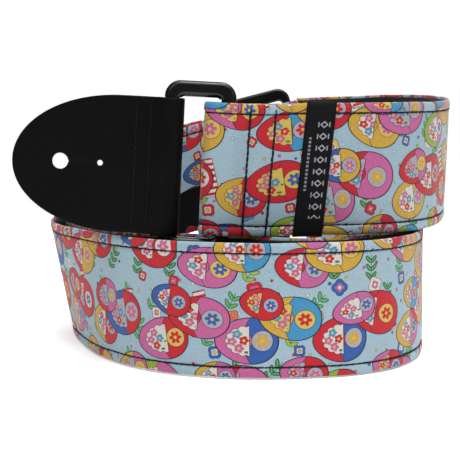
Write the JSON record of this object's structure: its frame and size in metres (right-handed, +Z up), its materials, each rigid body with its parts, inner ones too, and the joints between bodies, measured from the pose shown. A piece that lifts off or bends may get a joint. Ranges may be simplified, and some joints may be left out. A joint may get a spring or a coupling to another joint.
{
  "type": "guitar strap",
  "caption": "Adjustable guitar strap in printed cotton on black webbing, with a leather end on a rectangular ring at each end and a slider, coiled on its edge",
  "frame": {"origin": "on the surface the coil stands on, under the middle of the coil's box", "axes": "+Z up across the strap's width; +X along the straight front run towards the right-hand bend; +Y from the front of the coil to its back"},
  "size_m": [0.1734, 0.1938, 0.1089],
  "materials": {
    "printed_cotton": "printed cotton weave, matte",
    "padding": "soft felt",
    "webbing": "black woven webbing, matte",
    "thread": "dark polyester thread",
    "leather_thread": "waxed black thread",
    "leather": "black smooth-grain leather, satin",
    "ring_plastic": "glossy black moulded plastic",
    "label_ribbon": "black woven satin ribbon"
  },
  "bodies": {
    "strap": {"fold_inner_stitches": "thread", "fold_outer_stitches": "thread", "label": "label_ribbon", "lower_outer_cover": "printed_cotton", "lower_outer_edge_seams": "thread", "lower_outer_padding": "padding", "lower_outer_webbing": "webbing", "lower_return_cover": "printed_cotton", "lower_return_edge_seams": "thread", "lower_return_padding": "padding", "lower_return_webbing": "webbing", "ramp_outer_cover": "printed_cotton", "ramp_outer_edge_seams": "thread", "ramp_outer_padding": "padding", "ramp_outer_webbing": "webbing", "ramp_return_cover": "printed_cotton", "ramp_return_edge_seams": "thread", "ramp_return_padding": "padding", "ramp_return_webbing": "webbing", "ring_2_loop_cover": "printed_cotton", "ring_2_loop_edge_seams": "thread", "ring_2_loop_padding": "padding", "ring_2_loop_webbing": "webbing", "slider_end_loop_cover": "printed_cotton", "slider_end_loop_edge_seams": "thread", "slider_end_loop_padding": "padding", "slider_end_loop_webbing": "webbing", "slider_weave_cover": "printed_cotton", "slider_weave_edge_seams": "thread", "slider_weave_padding": "padding", "slider_weave_webbing": "webbing", "upper_turn_cover": "printed_cotton", "upper_turn_edge_seams": "thread", "upper_turn_padding": "padding", "upper_turn_webbing": "webbing"},
    "ring_1": {"ring_1": "ring_plastic"},
    "leather_end_1": {"leather_end_1": "leather", "leather_end_1_inner_stitches": "leather_thread", "leather_end_1_outer_stitches": "leather_thread"},
    "ring_2": {"ring_2": "ring_plastic"},
    "leather_end_2": {"leather_end_2": "leather", "leather_end_2_inner_stitches": "leather_thread", "leather_end_2_outer_stitches": "leather_thread"},
    "slider": {"slider": "ring_plastic"}
  },
  "joints": [
    {"name": "ring_1_swing", "type": "hinge", "parent": "strap", "child": "ring_1", "pos_m": [-0.00676, -0.07334, 0.0755], "axis": [0.0523, 0, 0.9986], "range_deg": [-10, 8]},
    {"name": "leather_end_1_swing", "type": "hinge", "parent": "ring_1", "child": "leather_end_1", "pos_m": [-0.02773, -0.07334, 0.0766], "axis": [0.0523, 0, 0.9986], "range_deg": [-25, 75]},
    {"name": "ring_2_swing", "type": "hinge", "parent": "strap", "child": "ring_2", "pos_m": [0.03914, 0.07066, 0.0328], "axis": [0.061, 0, 0.9981], "range_deg": [0, 15]},
    {"name": "leather_end_2_swing", "type": "hinge", "parent": "ring_2", "child": "leather_end_2", "pos_m": [0.01818, 0.07066, 0.03408], "axis": [0.061, 0, 0.9981], "range_deg": [0, 60]},
    {"name": "slider_adjust", "type": "slide", "parent": "strap", "child": "slider", "axis": [0.9681, 0, 0.2504], "range_m": [-0.008, 0.008], "deforming": ["slider_end_loop_cover", "slider_end_loop_edge_seams", "slider_end_loop_padding", "slider_end_loop_webbing", "slider_weave_cover", "slider_weave_edge_seams", "slider_weave_padding", "slider_weave_webbing"]}
  ]
}
